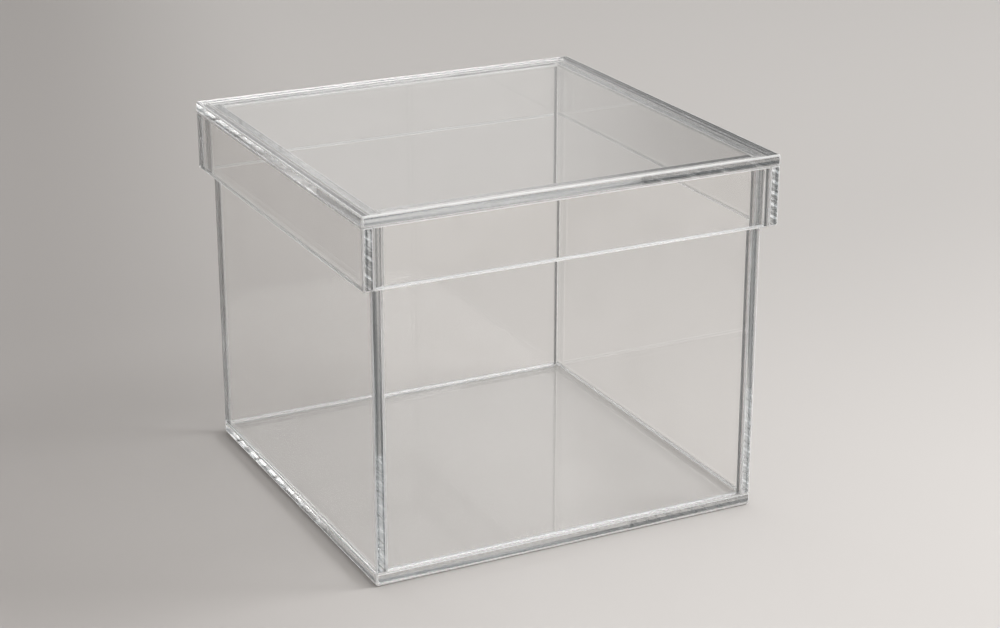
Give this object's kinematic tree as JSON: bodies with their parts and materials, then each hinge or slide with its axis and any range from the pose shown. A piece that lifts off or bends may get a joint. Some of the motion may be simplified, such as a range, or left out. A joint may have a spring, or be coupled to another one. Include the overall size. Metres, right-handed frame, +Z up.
{
  "type": "acrylic storage box with lid",
  "caption": "Clear acrylic storage box of flat bonded panels, open at the top, with a lift-off lid whose skirts go down over the outside of the walls.",
  "frame": {"origin": "centre of the square footprint, on the surface that the box stands on", "axes": "+Z up, along the lid's lift; -Y the front and +X the right side, which differ only in that the side walls and side skirts run the full depth"},
  "size_m": [0.201, 0.201, 0.171],
  "materials": {
    "clear_acrylic": "polished"
  },
  "bodies": {
    "body": {"base_plate": "clear_acrylic", "left_wall": "clear_acrylic", "right_wall": "clear_acrylic", "front_wall": "clear_acrylic", "back_wall": "clear_acrylic"},
    "lid": {"lid_top": "clear_acrylic", "lid_left_skirt": "clear_acrylic", "lid_right_skirt": "clear_acrylic", "lid_front_skirt": "clear_acrylic", "lid_back_skirt": "clear_acrylic"}
  },
  "joints": [
    {"name": "lid_lift", "type": "slide", "parent": "body", "child": "lid", "axis": [0, 0, 1], "range_m": [0, 0.2]}
  ]
}
